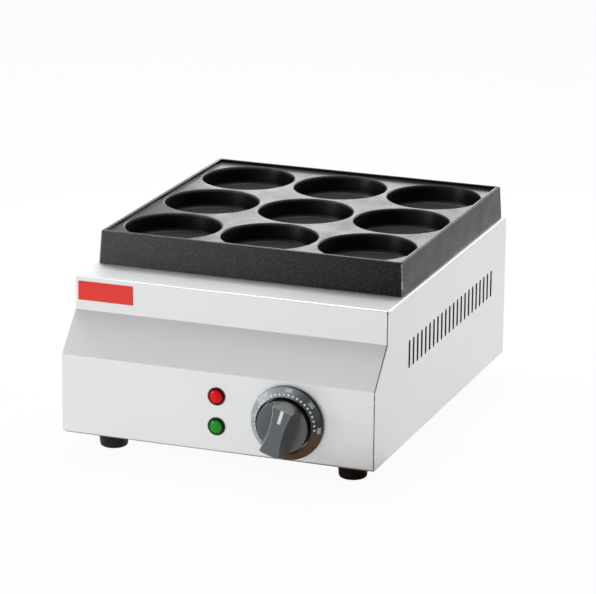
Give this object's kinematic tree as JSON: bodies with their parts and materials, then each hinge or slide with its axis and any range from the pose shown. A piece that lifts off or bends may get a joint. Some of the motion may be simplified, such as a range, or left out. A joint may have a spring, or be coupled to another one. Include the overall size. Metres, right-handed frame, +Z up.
{
  "type": "egg burger maker",
  "caption": "Countertop egg burger maker: a folded steel case with a sloped front carries a drafted cast plate of round pockets, heated from below and set by a thermostat knob.",
  "frame": {"origin": "centre of the whole object's box, on the surface that the feet stand on", "axes": "+Z up, -Y to the user at the front with the knob, +X to the user's right"},
  "size_m": [0.31, 0.4452, 0.1967],
  "materials": {
    "stainless": "satin folded stainless sheet",
    "badge_enamel": "red enamel, bare of lettering",
    "nonstick_cast": "cast plate under a speckled black non-stick coat",
    "plated_steel": "zinc plated",
    "element_sheath": "dark oxidised sheath",
    "ceramic_fibre": "pressed fibre board",
    "black_plastic": "moulded nylon",
    "copper": "drawn copper",
    "brass": "plain brass",
    "knob_plastic": "moulded grey, fine matt",
    "pointer_white": "white infill",
    "ring_plastic": "moulded grey, smooth",
    "lens_red": "clear tinted lens",
    "lens_green": "clear tinted lens",
    "foot_rubber": "moulded black rubber",
    "block_ceramic": "glazed ceramic",
    "lead_brown": "silicone sleeve",
    "lead_black": "silicone sleeve",
    "lead_blue": "silicone sleeve",
    "lead_earth": "silicone sleeve"
  },
  "bodies": {
    "cooker": {"outer_case": "stainless", "rear_panel": "stainless", "base_plate": "stainless", "name_plate": "badge_enamel", "cooking_plate": "nonstick_cast", "plate_clamps": "plated_steel", "plate_clamp_screws": "plated_steel", "plate_studs": "plated_steel", "stud_nuts": "plated_steel", "element_clamp_bars": "plated_steel", "heating_elements": "element_sheath", "element_terminals": "plated_steel", "element_links": "brass", "insulation_board": "ceramic_fibre", "heat_shield_tray": "plated_steel", "thermostat_body": "black_plastic", "thermostat_screws": "plated_steel", "thermostat_bulb": "copper", "capillary_tube": "copper", "dial_ring": "ring_plastic", "red_lamp_lens": "lens_red", "green_lamp_lens": "lens_green", "red_lamp_holder": "black_plastic", "green_lamp_holder": "black_plastic", "lamp_nuts": "black_plastic", "foot_front_left": "foot_rubber", "foot_front_right": "foot_rubber", "foot_rear_left": "foot_rubber", "foot_rear_right": "foot_rubber", "foot_screws": "plated_steel", "foot_nuts": "plated_steel", "base_screws": "plated_steel", "rear_screws": "plated_steel", "cable_gland": "black_plastic", "gland_cap": "black_plastic", "gland_lock_nut": "black_plastic", "terminal_block": "block_ceramic", "terminal_block_screws": "plated_steel", "earth_screw": "brass", "live_lead": "lead_brown", "switched_lead": "lead_black", "neutral_lead": "lead_blue", "earth_lead": "lead_earth"},
    "knob": {"thermostat_shaft": "plated_steel", "control_knob": "knob_plastic", "knob_pointer": "pointer_white"}
  },
  "joints": [
    {"name": "knob_turn", "type": "hinge", "parent": "cooker", "child": "knob", "pos_m": [0.0705, -0.1909, 0.0587], "axis": [0, -1, 0], "range_deg": [-78, 159]}
  ]
}
